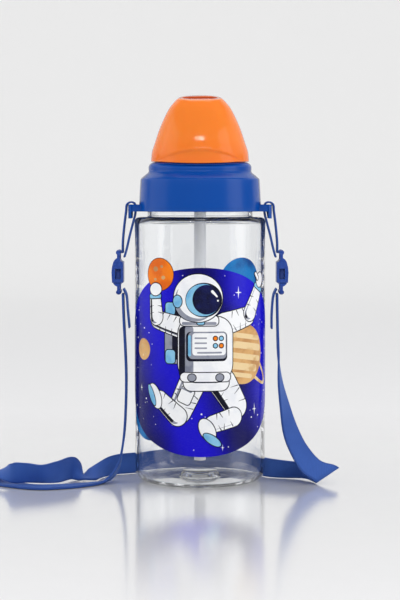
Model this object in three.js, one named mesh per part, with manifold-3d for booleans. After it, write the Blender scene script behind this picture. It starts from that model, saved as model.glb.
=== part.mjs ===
// A child's drinking bottle with a carrying strap: a clear screw-neck bottle, a blue lid with a lug at
// each side, a soft spout and its straw, an orange snap-on dome, and a flat webbing strap on two buckles.
// Millimetres, +Z up. The origin is on the floor, on the bottle's axis.
import * as THREE from "three";
import { mergeVertices } from "three/addons/utils/BufferGeometryUtils.js";
import Module from "manifold-3d";

const wasm = await Module();
wasm.setup();

// ---- Driving dimensions -------------------------------------------------------------------------
const GAP = 0.3; // clearance between pieces that touch
const ROUND = 36; // facets round the large turned pieces

const BODY_R = 35;
const WALL = 2;
const FOOT_R = 26.8; // middle of the flat ring that the bottle stands on
const BASE_CORNER = 7;
const SHOULDER_Z = 142;
const SHOULDER_CORNER = 3;
const NECK_R = 28.2;
const NECK_BORE_R = 26.3;
const NECK_TOP = 158;
const KICK_R = 7.5; // kick-up in the middle of the base
const KICK_Z = 5.2;

const THREAD_PITCH = 4;
const THREAD_HALF = 0.9; // half the height of a thread at its root

const SKIRT_Z = 144.8; // lower edge of the lid
const SKIRT_R = 32.7;
const LID_BORE_R = 30.4;
const LID_SEAT_Z = 160.6; // face that presses on the seal
const LID_SHOULDER_Z = 161.6;
const BEAD_R = 27.5;
const BEAD_TOP = 170.9;
const BOSS_R = 24; // the dome snaps over this
const BOSS_TOP = 176;
const DECK_Z = 168.4;
const DECK_THICK = 2.5;
const HUB_R = 10.8;
const HUB_TOP = 173;
const HUB_BORE_R = 8;
const DIP = 1.1; // how far the seam under the dome dips at the front
const DIP_HALF_ANGLE = (40 * Math.PI) / 180;

const DOME_Z = BEAD_TOP + GAP;
const DOME_TOP = 206.4;
const DOME_WALL = 1.9;
const POCKET = { width: 18.4, depth: 9, floor: 201.6, slope: 0.19 };

const STRAW_R = 3.2;
const STRAW_BORE_R = 2.55;
const STRAW_Z = 11;
const STRAW_TOP = 157.6;
const SPOUT_TOP = 196.7;
const VALVE_Y = 16.8;

const LUG_REACH = 38.2;
const LUG_WIDTH = 18;
const LUG_THICK = 3.7;
const LUG_SLOT = { near: 33.2, far: 35.8, width: 13 };

const WEB_THICK = 1.2;

const BUCKLE_X = 43.4; // middle plane of each buckle
const BUCKLE_Z = 112.4;
const BUCKLE_HALF = 12; // half its length
const BUCKLE_WIDTH = 17;
const BUCKLE_PART_Z = 106.9; // where the socket ends and the plug begins

// ---- Helpers ------------------------------------------------------------------------------------
// A closed three.js geometry as a manifold-3d solid with its faces pointing out.
function solid(geometry) {
  const bare = geometry.clone();
  bare.deleteAttribute("normal");
  bare.deleteAttribute("uv");
  const merged = mergeVertices(bare, 1e-4);
  const corners = merged.index.array;
  const triangles = [];
  for (let i = 0; i < corners.length; i += 3) {
    const [a, b, c] = [corners[i], corners[i + 1], corners[i + 2]];
    if (a !== b && b !== c && c !== a) triangles.push([a, b, c]);
  }
  const build = (list) =>
    new wasm.Manifold(
      new wasm.Mesh({
        numProp: 3,
        vertProperties: merged.attributes.position.array,
        triVerts: new Uint32Array(list.flat()),
      }),
    );
  const made = build(triangles);
  return made.volume() > 0 ? made : build(triangles.map(([a, b, c]) => [a, c, b]));
}

// A named mesh of a solid, in its own colour.
function piece(name, shape, look) {
  const made = shape.getMesh();
  const geometry = new THREE.BufferGeometry();
  geometry.setAttribute("position", new THREE.BufferAttribute(made.vertProperties, 3));
  geometry.setIndex(new THREE.BufferAttribute(made.triVerts, 1));
  geometry.computeVertexNormals();
  const mesh = new THREE.Mesh(geometry, new THREE.MeshStandardMaterial(look));
  mesh.name = name;
  return mesh;
}

// A profile of [radius, height] points turned about Z. moved() may shift each vertex afterwards.
function turned(profile, facets = ROUND, moved = null) {
  const points = profile.map(([r, z]) => new THREE.Vector2(r, z));
  const ends = [points[0], points[points.length - 1]];
  if (ends.some((end) => end.x > 0)) points.push(points[0].clone());
  const geometry = new THREE.LatheGeometry(points, facets);
  geometry.rotateX(Math.PI / 2);
  if (moved) shift(geometry, moved);
  return solid(geometry);
}

function shift(geometry, moved) {
  const position = geometry.attributes.position;
  const at = new THREE.Vector3();
  for (let i = 0; i < position.count; i++) {
    at.fromBufferAttribute(position, i);
    moved(at);
    position.setXYZ(i, at.x, at.y, at.z);
  }
}

// Points of an arc in a profile, from one angle to another in degrees.
function arc(r, z, radius, from, to, steps) {
  return Array.from({ length: steps + 1 }, (_, i) => {
    const angle = ((from + ((to - from) * i) / steps) * Math.PI) / 180;
    return [r + radius * Math.cos(angle), z + radius * Math.sin(angle)];
  });
}

function box(x0, y0, z0, x1, y1, z1) {
  const geometry = new THREE.BoxGeometry(x1 - x0, y1 - y0, z1 - z0);
  geometry.translate((x0 + x1) / 2, (y0 + y1) / 2, (z0 + z1) / 2);
  return solid(geometry);
}

// An outline with rounded corners, centred on a point.
function roundedOutline(x, y, width, height, corner) {
  const shape = new THREE.Shape();
  const [w, h] = [width / 2 - corner, height / 2 - corner];
  shape.absarc(x + w, y - h, corner, -Math.PI / 2, 0);
  shape.absarc(x + w, y + h, corner, 0, Math.PI / 2);
  shape.absarc(x - w, y + h, corner, Math.PI / 2, Math.PI);
  shape.absarc(x - w, y - h, corner, Math.PI, (Math.PI * 3) / 2);
  return shape;
}

function extruded(shape, depth, curveSegments = 5) {
  return new THREE.ExtrudeGeometry(shape, { depth, bevelEnabled: false, curveSegments });
}

// One screw thread: a bar wound round the axis, which fades out at both ends.
function thread(rootR, crestR, startZ, turns) {
  const steps = Math.round(turns * 24);
  const geometry = new THREE.BoxGeometry(1, 1, 1, 1, 1, steps);
  const fade = 0.06;
  shift(geometry, (at) => {
    const along = at.z + 0.5;
    const angle = along * turns * 2 * Math.PI;
    const rise = Math.min(1, along / fade, (1 - along) / fade);
    const crest = at.x > 0;
    const r = crest ? rootR + (crestR - rootR) * Math.max(rise, 0.05) : rootR;
    const half = crest ? THREAD_HALF * 0.55 : THREAD_HALF;
    const z = startZ + THREAD_PITCH * turns * along + at.y * 2 * half;
    at.set(r * Math.cos(angle), r * Math.sin(angle), z);
  });
  return solid(geometry);
}

// How strongly the dip at the front acts at a vertex: 1 at the front, 0 past its half angle.
function frontDip(at) {
  const angle = Math.abs(Math.atan2(at.x, -at.y));
  return angle < DIP_HALF_ANGLE ? 0.5 + 0.5 * Math.cos((angle * Math.PI) / DIP_HALF_ANGLE) : 0;
}

// ---- The strap's route --------------------------------------------------------------------------
// Each station is the middle of the webbing, and the half-width vector to its far or upper edge.
const ROUTE = [
  [-41.3, 0, 100.9, 0, 6, 0], // out of the left plug
  [-40.9, 0, 88, 0, 6, 0],
  [-40.1, 0, 72, 0, 6, 0],
  [-39.6, 0, 56, 0, 6, 0],
  [-39.9, 0, 40, 0, 6, 0],
  [-40.7, -0.3, 26, 0, 6, 0],
  [-42.2, -1.5, 15.5, 0, 6, 0],
  [-44.2, -4.2, 7.6, 0.6, 5.9, -0.6],
  [-49.5, -11, 1.6, 1.6, 5.8, -0.3], // flat on the floor
  [-60, -21.5, 0.9, 1.8, 5.7, 0],
  [-72, -27.8, 0.9, 1.2, 5.9, 0],
  [-85, -30, 0.9, 0.2, 6, 0],
  [-97, -23, 0.9, 2, 5.6, 0],
  [-107, -14, 1.2, 2.4, 5.4, 0],
  [-112, -11, 3.8, 2.4, 5.3, 0.4], // turns back over itself
  [-106, -15, 6.2, 2.6, 3.2, 2.2],
  [-98.5, -25, 7.6, 0.3, -1.6, 5.4],
  [-91, -23.5, 7.4, 0, -1.8, 5.3],
  [-83.5, -24, 6.9, 0, -2.4, 5],
  [-75.9, -15, 6.6, 0, -0.8, 5.8],
  [-68.2, -1.2, 6.6, 0.5, 0.5, 6], // folds down
  [-65.2, 0.2, 4.5, 0.3, 4.2, 4],
  [-62.5, -0.8, 1.9, -0.9, 5.9, 0.4],
  [-57.8, 0, 3.3, -1.8, 5, 2.3], // turns up on its edge
  [-51.9, 11.6, 5.2, 0.6, 3.4, 4.8],
  [-46.4, 18.6, 5.8, 1, 0.4, 5.5],
  [-36, 25, 5.9, 0, 0.6, 5.6],
  [-19, 35.5, 6.2, 0, 0, 5.8],
  [0, 40, 6.3, 0, 0, 5.8],
  [18, 35, 6.1, 0, 0, 5.7],
  [29.5, 22.5, 5.9, 0, -0.6, 5.5],
  [36.2, 9.8, 5.6, 0, -1, 5.2],
  [44, 4.4, 5.4, 0, -2.4, 5],
  [55.4, -0.6, 5.3, 0.2, -3.4, 4.5],
  [63.2, -7, 5, 3.4, -0.4, 4.4],
  [67.8, -10.6, 4.4, 6.2, 4, 3.4], // diagonal fold at the right
  [66, -13.2, 6, 6.2, 4.4, 3.2],
  [59.6, -11.6, 8.8, 5.2, 3.6, 2.4],
  [53.2, -8, 17, 4.3, 3.5, 1.9],
  [48.6, -3.6, 27, 3.7, 4.4, 1.6],
  [45.2, -1, 41.5, 2.2, 5.5, 0.9],
  [43, 0, 54, 1, 5.9, 0.3],
  [42.1, 0, 68, 0, 6, 0],
  [41.6, 0, 84, 0, 6, 0],
  [41.3, 0, 100.9, 0, 6, 0], // into the right plug
];
// Stations where one solid of the strap ends and the next begins.
const CURL = 13;
const FOLD_DOWN = 22;
const FOLD_RIGHT = 33;

const LEFT_TAIL = [
  [-41, 0, 103.6, 0, 6, 0],
  [-39.5, 0, 100.4, 0, 6, 0],
  [-38.7, 0, 92, 0, 6, 0],
  [-37.8, 0, 82.5, 0, 6, 0],
];
const RIGHT_TAIL = [
  [41, 0, 103.6, 0, 6, 0],
  [39.5, 0, 100.4, 0, 6, 0],
  [38.5, 0, 91, 0, 6, 0],
  [38.4, 0, 82, 0, 6, 0],
];
const LOOP = [
  [41.3, 0, 122.6, 0, 6, 0], // outer strand, from the buckle up to the lug
  [41.3, 0, 128, 0, 6, 0],
  [40.4, 0, 138, 0, 6, 0],
  [39.5, 0, 145, 0, 6, 0],
  [39, 0, 148.6, 0, 6, 0],
  [37, 0, 149.8, 0, 6, 0], // over the lug's bar
  [35, 0, 149.1, 0, 6, 0],
  [34.5, 0, 146.8, 0, 6, 0],
  [34.6, 0, 143.6, 0, 6, 0],
  [35.6, 0, 139.6, 0, 6, 0],
  [37.7, 0, 131.5, 0, 6, 0],
  [39.3, 0, 124.5, 0, 6, 0],
  [40.5, 0, 120.3, 0, 6, 0], // inner strand, back to the buckle
];

// Webbing along part of a route, from station to station, as a flat bar bent to it.
function webbing(route, from, to, thick = WEB_THICK) {
  const middle = new THREE.CatmullRomCurve3(
    route.map(([x, y, z]) => new THREE.Vector3(x, y, z)),
    false,
    "centripetal",
  );
  const half = new THREE.CatmullRomCurve3(
    route.map((station) => new THREE.Vector3(station[3], station[4], station[5])),
    false,
    "catmullrom",
  );
  const last = route.length - 1;
  const steps = (to - from) * 3;
  const geometry = new THREE.BoxGeometry(1, 1, 1, 1, 1, steps);
  const end = 0.025; // keeps the ends of two stretches apart
  shift(geometry, (at) => {
    const along = from + end + (to - from - 2 * end) * (at.z + 0.5);
    const t = THREE.MathUtils.clamp(along / last, 0, 1);
    const side = half.getPoint(t);
    const normal = new THREE.Vector3().crossVectors(side, middle.getTangent(t)).normalize();
    const centre = middle.getPoint(t);
    centre.addScaledVector(side, at.x * 2).addScaledVector(normal, at.y * thick);
    at.copy(centre);
  });
  return solid(geometry);
}

// ---- Looks --------------------------------------------------------------------------------------
const CLEAR = { color: 0xe8eef4, roughness: 0.05, transparent: true, opacity: 0.35 };
const BLUE = { color: 0x05469a, roughness: 0.35 };
const ORANGE = { color: 0xff7a2a, roughness: 0.25 };
const WEBBING = { color: 0x3359aa, roughness: 0.8 };
const BUCKLE = { color: 0x1f4fa0, roughness: 0.4 };
const SILICONE = { color: 0xe6e6e2, roughness: 0.5 };
const SEAL = { color: 0xf2f2f0, roughness: 0.6 };
const STRAW = { color: 0xb4b6b8, roughness: 0.3 };

// ---- The bottle ---------------------------------------------------------------------------------
function bottleBody() {
  const inner = BODY_R - WALL;
  const corner = BASE_CORNER;
  const profile = [
    [0, KICK_Z],
    [KICK_R - 0.5, KICK_Z],
    [KICK_R + 1.6, 1.6],
    [FOOT_R - 2.6, 1],
    [FOOT_R - 1.2, 0],
    ...arc(BODY_R - corner, corner, corner, -90, 0, 4),
    ...arc(BODY_R - SHOULDER_CORNER, SHOULDER_Z - SHOULDER_CORNER, SHOULDER_CORNER, 0, 90, 3),
    [NECK_R, SHOULDER_Z],
    [NECK_R, NECK_TOP],
    [NECK_BORE_R, NECK_TOP],
    [NECK_BORE_R, SHOULDER_Z - WALL + 0.2],
    ...arc(inner - 2, SHOULDER_Z - WALL - 2, 2, 90, 0, 2),
    ...arc(inner - corner + 1.5, corner + 2, corner - 1.5, 0, -90, 4),
    [KICK_R + 3.4, 3.3],
    [KICK_R + 1, KICK_Z + 2.4],
    [0, KICK_Z + 2.6],
  ];
  return turned(profile).add(thread(NECK_R - 0.3, NECK_R + 1.3, 149.5, 1.5));
}

// ---- The lid and what it holds ------------------------------------------------------------------
function lidShell() {
  const deckUnder = DECK_Z - DECK_THICK;
  const profile = [
    [LID_BORE_R, SKIRT_Z],
    [SKIRT_R - 0.4, SKIRT_Z],
    [SKIRT_R, SKIRT_Z + 0.5],
    [SKIRT_R - 0.5, 156],
    [SKIRT_R - 0.9, LID_SHOULDER_Z],
    [SKIRT_R - 1.4, LID_SHOULDER_Z + 1.4],
    [SKIRT_R - 2.2, LID_SHOULDER_Z + 2.1],
    [BEAD_R + 0.7, 165.3],
    [BEAD_R, 166.2],
    [BEAD_R, BEAD_TOP - 0.7],
    [BEAD_R - 0.5, BEAD_TOP],
    [BOSS_R, BEAD_TOP],
    [BOSS_R, BOSS_TOP - 0.5],
    [BOSS_R - 0.5, BOSS_TOP],
    [BOSS_R - 2, BOSS_TOP],
    [BOSS_R - 2, DECK_Z],
    [HUB_R, DECK_Z],
    [HUB_R, HUB_TOP],
    [HUB_BORE_R, HUB_TOP],
    [HUB_BORE_R, 160],
    [HUB_BORE_R + 2, 160],
    [HUB_BORE_R + 2, deckUnder],
    [BOSS_R + 0.1, deckUnder],
    [BOSS_R + 0.7, LID_SEAT_Z],
    [LID_BORE_R, LID_SEAT_Z],
  ];
  const scoop = (at) => {
    const r = Math.hypot(at.x, at.y);
    const dip = frontDip(at);
    if (Math.abs(at.z - BEAD_TOP) < 1 && r > BOSS_R - 1) at.z -= DIP * dip;
    if (r < BEAD_R - 1 || at.z < 165) return;
    const scale = (r - dip) / r;
    at.x *= scale;
    at.y *= scale;
  };
  let lid = turned(profile, ROUND, scoop);
  lid = lid.add(thread(LID_BORE_R + 0.3, LID_BORE_R - 1.4, 147.5, 1.25));
  for (const side of [-1, 1]) {
    const near = LID_BORE_R + 0.3;
    const reach = LUG_REACH - near;
    const outline = roundedOutline(side * (near + reach / 2), 0, reach, LUG_WIDTH, 2.4);
    const middle = (LUG_SLOT.near + LUG_SLOT.far) / 2;
    const slotWidth = LUG_SLOT.far - LUG_SLOT.near;
    outline.holes.push(roundedOutline(side * middle, 0, slotWidth, LUG_SLOT.width, 0.8));
    const lug = extruded(outline, LUG_THICK).translate(0, 0, SKIRT_Z);
    lid = lid.add(solid(lug));
  }
  const hole = (x, y, r) => {
    const drill = new THREE.CylinderGeometry(r, r, 10, 12).rotateX(Math.PI / 2);
    return solid(drill.translate(x, y, DECK_Z));
  };
  lid = lid.subtract(hole(0, VALVE_Y, 1.6));
  for (const side of [-1, 1]) lid = lid.subtract(hole(side * 2.9, VALVE_Y, 0.6));
  return lid;
}

function lidGasket() {
  const [inner, outer] = [NECK_BORE_R - 0.3, LID_BORE_R - 0.5];
  const [low, high] = [NECK_TOP + GAP, LID_SEAT_Z - GAP];
  return turned([
    [inner, low],
    [outer, low],
    [outer, high],
    [inner, high],
  ]);
}

// Soft mouthpiece, open from the flange up to the slit at its tip.
function spout() {
  const flange = HUB_TOP + GAP;
  return turned(
    [
      [6.2, flange],
      [HUB_R, flange],
      [HUB_R, flange + 1.2],
      [8.3, flange + 1.2],
      [8.2, 177.5],
      [7.2, 183],
      [6.6, 189],
      [6.6, 192],
      [5.9, 195],
      [4, SPOUT_TOP - 0.3],
      [1.5, SPOUT_TOP],
      [1.5, 193.5],
      [4.6, 191.5],
      [5.2, 186],
      [6.1, 179],
    ],
    24,
  );
}

// Ring nut that clamps the mouthpiece's flange to the hub.
function spoutCollar() {
  const [low, lip, top] = [DECK_Z + 0.4, HUB_TOP + 1.8, HUB_TOP + 3.2];
  return turned(
    [
      [HUB_R + 0.4, low],
      [HUB_R + 2.6, low],
      [HUB_R + 2.6, top - 0.5],
      [HUB_R + 2.1, top],
      [8.7, top],
      [8.7, lip],
      [HUB_R + 0.4, lip],
    ],
    24,
  );
}

function strawAdapter() {
  const spigot = STRAW_BORE_R - 0.2;
  const bore = STRAW_BORE_R - 0.6;
  return turned(
    [
      [bore, 150],
      [spigot, 150],
      [spigot, STRAW_TOP + 0.4],
      [6, STRAW_TOP + 0.7],
      [HUB_BORE_R - GAP, 160.4],
      [HUB_BORE_R - GAP, HUB_TOP - GAP],
      [bore, HUB_TOP - GAP],
    ],
    24,
  );
}

function straw() {
  return turned(
    [
      [STRAW_BORE_R, STRAW_Z],
      [STRAW_R, STRAW_Z],
      [STRAW_R, STRAW_TOP],
      [STRAW_BORE_R, STRAW_TOP],
    ],
    16,
  );
}

// Umbrella valve that lets air in while the child drinks.
function airValve() {
  const under = DECK_Z - DECK_THICK - GAP;
  const over = DECK_Z + GAP;
  const shape = turned(
    [
      [0, under - 2],
      [1.6, under - 1.6],
      [4.4, under],
      [1.25, under],
      [1.25, over],
      [2.3, over],
      [1.6, over + 1.4],
      [0, over + 1.4],
    ],
    16,
  );
  return shape.translate([0, VALVE_Y, 0]);
}

// ---- The dome -----------------------------------------------------------------------------------
function capDome() {
  const outside = new THREE.SplineCurve(
    [
      [25.7, 176.6],
      [24.1, 181.6],
      [22, 187.9],
      [19.3, 194.3],
      [16.4, 199.8],
      [13.1, 203.8],
      [9.2, DOME_TOP],
    ].map(([r, z]) => new THREE.Vector2(r, z)),
  );
  const outer = outside.getPoints(12).map(({ x, y }) => [x, y]);
  const snapR = BOSS_R + GAP;
  const inner = outer
    .filter(([, z]) => z > BOSS_TOP + 3 && z < POCKET.floor - 3)
    .map(([r, z]) => [r - DOME_WALL, z - 0.3])
    .reverse();
  const profile = [
    [snapR, DOME_Z],
    [26.3, DOME_Z],
    ...outer,
    [0, DOME_TOP],
    [0, POCKET.floor - DOME_WALL],
    [11, POCKET.floor - DOME_WALL],
    ...inner,
    [snapR, BOSS_TOP + 0.6],
  ];
  const follow = (at) => {
    if (at.z < DOME_Z + 1) at.z -= DIP * frontDip(at);
  };
  const shell = turned(profile, ROUND, follow);
  const tilt = Math.atan(POCKET.slope);
  const slab = new THREE.BoxGeometry(60, 60, 20).translate(0, 0, 10);
  slab.rotateX(tilt).translate(0, 0, DOME_TOP - 0.9);
  const stadium = roundedOutline(0, -0.4, POCKET.width, POCKET.depth, POCKET.depth / 2 - 0.2);
  const pocket = extruded(stadium, 20, 6).translate(0, 0, POCKET.floor);
  return shell.subtract(solid(slab)).subtract(solid(pocket));
}

// ---- The buckles --------------------------------------------------------------------------------
// A side profile in X and Z, cut to the buckle's rounded face outline in Y and Z.
function buckleBlock(profile) {
  const side = extruded(new THREE.Shape(profile.map(([x, z]) => new THREE.Vector2(x, z))), 30);
  side.translate(0, 0, -15).rotateX(Math.PI / 2);
  const face = extruded(
    roundedOutline(0, BUCKLE_Z, BUCKLE_WIDTH, 2 * BUCKLE_HALF, 3.2),
    30,
  );
  face.rotateX(Math.PI / 2).rotateZ(Math.PI / 2).translate(BUCKLE_X - 15, 0, 0);
  return solid(side).intersect(solid(face));
}

const END_BAR_R = 1.4;
const NECK_HALF = 0.75;

// Female half: dome outside, end bar with its webbing slot at the top, pocket for the prongs.
function buckleSocket(side) {
  const bar = BUCKLE_Z + BUCKLE_HALF - END_BAR_R;
  const profile = [
    [BUCKLE_X - 2.5, BUCKLE_PART_Z],
    [BUCKLE_X + 3.4, BUCKLE_PART_Z],
    [BUCKLE_X + 3.7, BUCKLE_Z],
    [BUCKLE_X + 3.4, BUCKLE_Z + 3],
    [BUCKLE_X + 2.7, BUCKLE_Z + 5.6],
    [BUCKLE_X + 1.8, BUCKLE_Z + 7],
    [BUCKLE_X + NECK_HALF, BUCKLE_Z + 7.5],
    ...arc(BUCKLE_X, bar, END_BAR_R, -58, 238, 8),
    [BUCKLE_X - NECK_HALF, BUCKLE_Z + 7],
    [BUCKLE_X - 1.3, BUCKLE_Z + 6],
    [BUCKLE_X - 2.5, BUCKLE_Z + 5.3],
  ];
  let socket = buckleBlock(profile);
  const slot = box(BUCKLE_X - 3, -6.5, BUCKLE_Z + 6.9, BUCKLE_X + 3, 6.5, bar - END_BAR_R + 0.3);
  const pocket = box(BUCKLE_X - 1.2, -6.7, BUCKLE_PART_Z - 1, BUCKLE_X + 1.7, 6.7, BUCKLE_Z + 3.8);
  const window = box(BUCKLE_X - 1.2, -10, BUCKLE_Z - 3.6, BUCKLE_X + 1.7, 10, BUCKLE_Z + 2);
  socket = socket.subtract(slot).subtract(pocket).subtract(window);
  return side > 0 ? socket : socket.mirror([1, 0, 0]);
}

// Male half: end bar and slot at the bottom, two springy prongs and a guide inside the socket.
function bucklePlug(side) {
  const bar = BUCKLE_Z - BUCKLE_HALF + END_BAR_R;
  const top = BUCKLE_PART_Z - GAP;
  const profile = [
    [BUCKLE_X - 1.3, top],
    [BUCKLE_X - 1.3, BUCKLE_Z - 6.6],
    [BUCKLE_X - NECK_HALF, BUCKLE_Z - 7.2],
    ...arc(BUCKLE_X, bar, END_BAR_R, 122, 418, 8),
    [BUCKLE_X + NECK_HALF, BUCKLE_Z - 7.5],
    [BUCKLE_X + 1.8, BUCKLE_Z - 7],
    [BUCKLE_X + 2.9, top],
  ];
  let plug = buckleBlock(profile);
  plug = plug.subtract(box(BUCKLE_X - 3, -6.5, bar + END_BAR_R - 0.3, BUCKLE_X + 3, 6.5, BUCKLE_Z - 6.9));
  for (const end of [-1, 1]) {
    const prong = box(BUCKLE_X - 0.9, -1.1, top - 0.4, BUCKLE_X + 1.4, 1.3, BUCKLE_PART_Z + 7.6);
    plug = plug.add(prong.translate([0, end * 5, 0]));
  }
  plug = plug.add(box(BUCKLE_X - 0.6, -1, top - 0.4, BUCKLE_X + 1.1, 1, BUCKLE_PART_Z + 5));
  return side > 0 ? plug : plug.mirror([1, 0, 0]);
}

const mirrored = (route) => route.map(([x, ...rest]) => [-x, ...rest]);

// ---- Assembly -----------------------------------------------------------------------------------
const bottle = new THREE.Group();
bottle.add(piece("bottle_body", bottleBody(), CLEAR));
bottle.add(piece("lid_shell", lidShell(), BLUE));
bottle.add(piece("lid_gasket", lidGasket(), SEAL));
bottle.add(piece("spout", spout(), SILICONE));
bottle.add(piece("spout_collar", spoutCollar(), BLUE));
bottle.add(piece("straw_adapter", strawAdapter(), SILICONE));
bottle.add(piece("straw", straw(), STRAW));
bottle.add(piece("air_valve", airValve(), SEAL));
bottle.add(piece("cap_dome", capDome(), ORANGE));
bottle.add(piece("buckle_socket_left", buckleSocket(-1), BUCKLE));
bottle.add(piece("buckle_socket_right", buckleSocket(1), BUCKLE));
bottle.add(piece("buckle_plug_left", bucklePlug(-1), BUCKLE));
bottle.add(piece("buckle_plug_right", bucklePlug(1), BUCKLE));
bottle.add(piece("strap_loop_left", webbing(mirrored(LOOP), 0, LOOP.length - 1, 1), WEBBING));
bottle.add(piece("strap_loop_right", webbing(LOOP, 0, LOOP.length - 1, 1), WEBBING));
bottle.add(piece("strap_left_drop", webbing(ROUTE, 0, CURL), WEBBING));
bottle.add(piece("strap_left_return", webbing(ROUTE, CURL, FOLD_DOWN), WEBBING));
bottle.add(piece("strap_back", webbing(ROUTE, FOLD_DOWN, FOLD_RIGHT), WEBBING));
bottle.add(piece("strap_right_rise", webbing(ROUTE, FOLD_RIGHT, ROUTE.length - 1), WEBBING));
bottle.add(piece("strap_tail_left", webbing(LEFT_TAIL, 0, 3, 1), WEBBING));
bottle.add(piece("strap_tail_right", webbing(RIGHT_TAIL, 0, 3, 1), WEBBING));

export default bottle;
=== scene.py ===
# A child's clear drinking bottle with a printed wall, a blue lid, an orange dome over its spout, and a
# flat carrying strap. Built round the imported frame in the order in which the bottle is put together.
import math
import random

import bpy
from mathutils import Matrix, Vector


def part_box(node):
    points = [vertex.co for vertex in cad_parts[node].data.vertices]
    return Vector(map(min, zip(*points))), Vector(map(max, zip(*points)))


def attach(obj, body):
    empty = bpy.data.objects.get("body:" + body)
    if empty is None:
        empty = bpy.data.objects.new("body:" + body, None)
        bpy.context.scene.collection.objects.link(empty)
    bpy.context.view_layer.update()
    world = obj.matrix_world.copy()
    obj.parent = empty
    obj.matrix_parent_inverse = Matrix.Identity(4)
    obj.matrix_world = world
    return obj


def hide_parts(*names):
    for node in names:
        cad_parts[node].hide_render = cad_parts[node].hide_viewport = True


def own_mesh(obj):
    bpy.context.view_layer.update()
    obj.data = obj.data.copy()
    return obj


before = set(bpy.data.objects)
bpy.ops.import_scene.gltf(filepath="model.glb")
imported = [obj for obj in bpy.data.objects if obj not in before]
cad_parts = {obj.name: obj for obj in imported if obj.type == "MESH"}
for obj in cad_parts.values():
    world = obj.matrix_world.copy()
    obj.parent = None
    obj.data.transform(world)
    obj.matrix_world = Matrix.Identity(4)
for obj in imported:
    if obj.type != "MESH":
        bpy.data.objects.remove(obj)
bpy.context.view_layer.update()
MM = 0.001

# ---- The studio: floor, light and camera --------------------------------------------------------
# A sheet of pale, slightly glossy board swept up behind the bottle, two tall soft boxes at the sides,
# one overhead and a narrow strip in front. The camera stands a metre back, at three quarters height.


def paint(red, green, blue):
    """A colour in display values from 0 to 255, as the linear colour that a socket takes."""
    parts = [c / 255 for c in (red, green, blue)]
    line = [c / 12.92 if c <= 0.04045 else ((c + 0.055) / 1.055) ** 2.4 for c in parts]
    return (*line, 1.0)


class Wire:
    """An output socket of a finish. Sums written with it add Math nodes."""

    def __init__(self, finish, socket):
        self.finish = finish
        self.socket = socket

    def math(self, operation, *values):
        return self.finish.add("Math", dict(enumerate(values)), operation=operation)

    def __add__(self, other):
        return self.math("ADD", self, other)

    __radd__ = __add__

    def __sub__(self, other):
        return self.math("SUBTRACT", self, other)

    def __rsub__(self, other):
        return self.math("SUBTRACT", other, self)

    def __mul__(self, other):
        return self.math("MULTIPLY", self, other)

    __rmul__ = __mul__

    def sine(self):
        return self.math("SINE", self)

    def root(self):
        return self.math("SQRT", self)

    def size(self):
        return self.math("ABSOLUTE", self)

    def step(self, low, high):
        """0 at low, 1 at high, and a smooth slope between them."""
        inputs = {"Value": self, "From Min": low, "From Max": high}
        return self.finish.add("MapRange", inputs, interpolation_type="SMOOTHSTEP")


class Finish:
    """A material, built up node by node."""

    def __init__(self, name):
        self.material = bpy.data.materials.new(name)
        self.material.use_nodes = True
        self.tree = self.material.node_tree
        self.tree.nodes.clear()

    def add(self, kind, inputs=(), outlet=0, **settings):
        node = self.tree.nodes.new("ShaderNode" + kind)
        for key, value in settings.items():
            setattr(node, key, value)
        for key, value in dict(inputs).items():
            if isinstance(value, Wire):
                self.tree.links.new(value.socket, node.inputs[key])
            else:
                node.inputs[key].default_value = value
        return Wire(self, node.outputs[outlet] if node.outputs else None)

    def place(self):
        """Where a point of the piece is, in metres, as its X, Y and Z."""
        return self.split(self.add("TexCoord", outlet="Object"))

    def split(self, vector):
        return [self.add("SeparateXYZ", {0: vector}, outlet=axis) for axis in range(3)]

    def noise(self, scale, detail=3.0):
        inputs = {"Vector": self.add("TexCoord", outlet="Object"), "Scale": scale, "Detail": detail}
        return self.add("TexNoise", inputs)

    def mix(self, share, first, second):
        return self.add("Mix", {0: share, 6: first, 7: second}, outlet=2, data_type="RGBA")

    def bump(self, height, distance, strength=1.0):
        return self.add("Bump", {"Height": height, "Distance": distance, "Strength": strength})

    def surface(self, **sockets):
        inputs = {key.replace("_", " "): value for key, value in sockets.items()}
        shader = self.add("BsdfPrincipled", inputs)
        self.add("OutputMaterial", {"Surface": shader})

    def on(self, piece):
        piece.data.materials.clear()
        piece.data.materials.append(self.material)


def start_piece(name):
    """The primitive just added takes a piece's name, and is left selected alone in edit mode."""
    piece = bpy.context.object
    piece.name = piece.data.name = name
    bpy.ops.object.mode_set(mode="EDIT")
    bpy.ops.mesh.select_all(action="SELECT")
    return piece


def deselect():
    bpy.ops.object.select_all(action="DESELECT")


def choose(*chosen):
    deselect()
    for piece in chosen:
        piece.select_set(True)
    bpy.context.view_layer.objects.active = chosen[0]


def settle(piece, crease=35):
    """Applies a piece's modifiers and its place, and smooths it up to an angle in degrees."""
    choose(piece)
    for modifier in list(piece.modifiers):
        bpy.ops.object.modifier_apply(modifier=modifier.name)
    bpy.ops.object.transform_apply(location=True, rotation=True, scale=True)
    bpy.ops.object.shade_smooth_by_angle(angle=math.radians(crease))
    return piece


def round_edges(piece, name, width, segments, angle=30):
    """Rounds the edges that turn by more than an angle in degrees. The width is in metres."""
    bevel = piece.modifiers.new(name, "BEVEL")
    bevel.width = width
    bevel.segments = segments
    bevel.limit_method = "ANGLE"
    bevel.angle_limit = math.radians(angle)


FLOOR_WIDTH = 8.0
FLOOR_FRONT = -3.0
FLOOR_BACK = 2.6
SWEEP_RADIUS = 0.7
SWEEP_HEIGHT = 3.2

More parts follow.
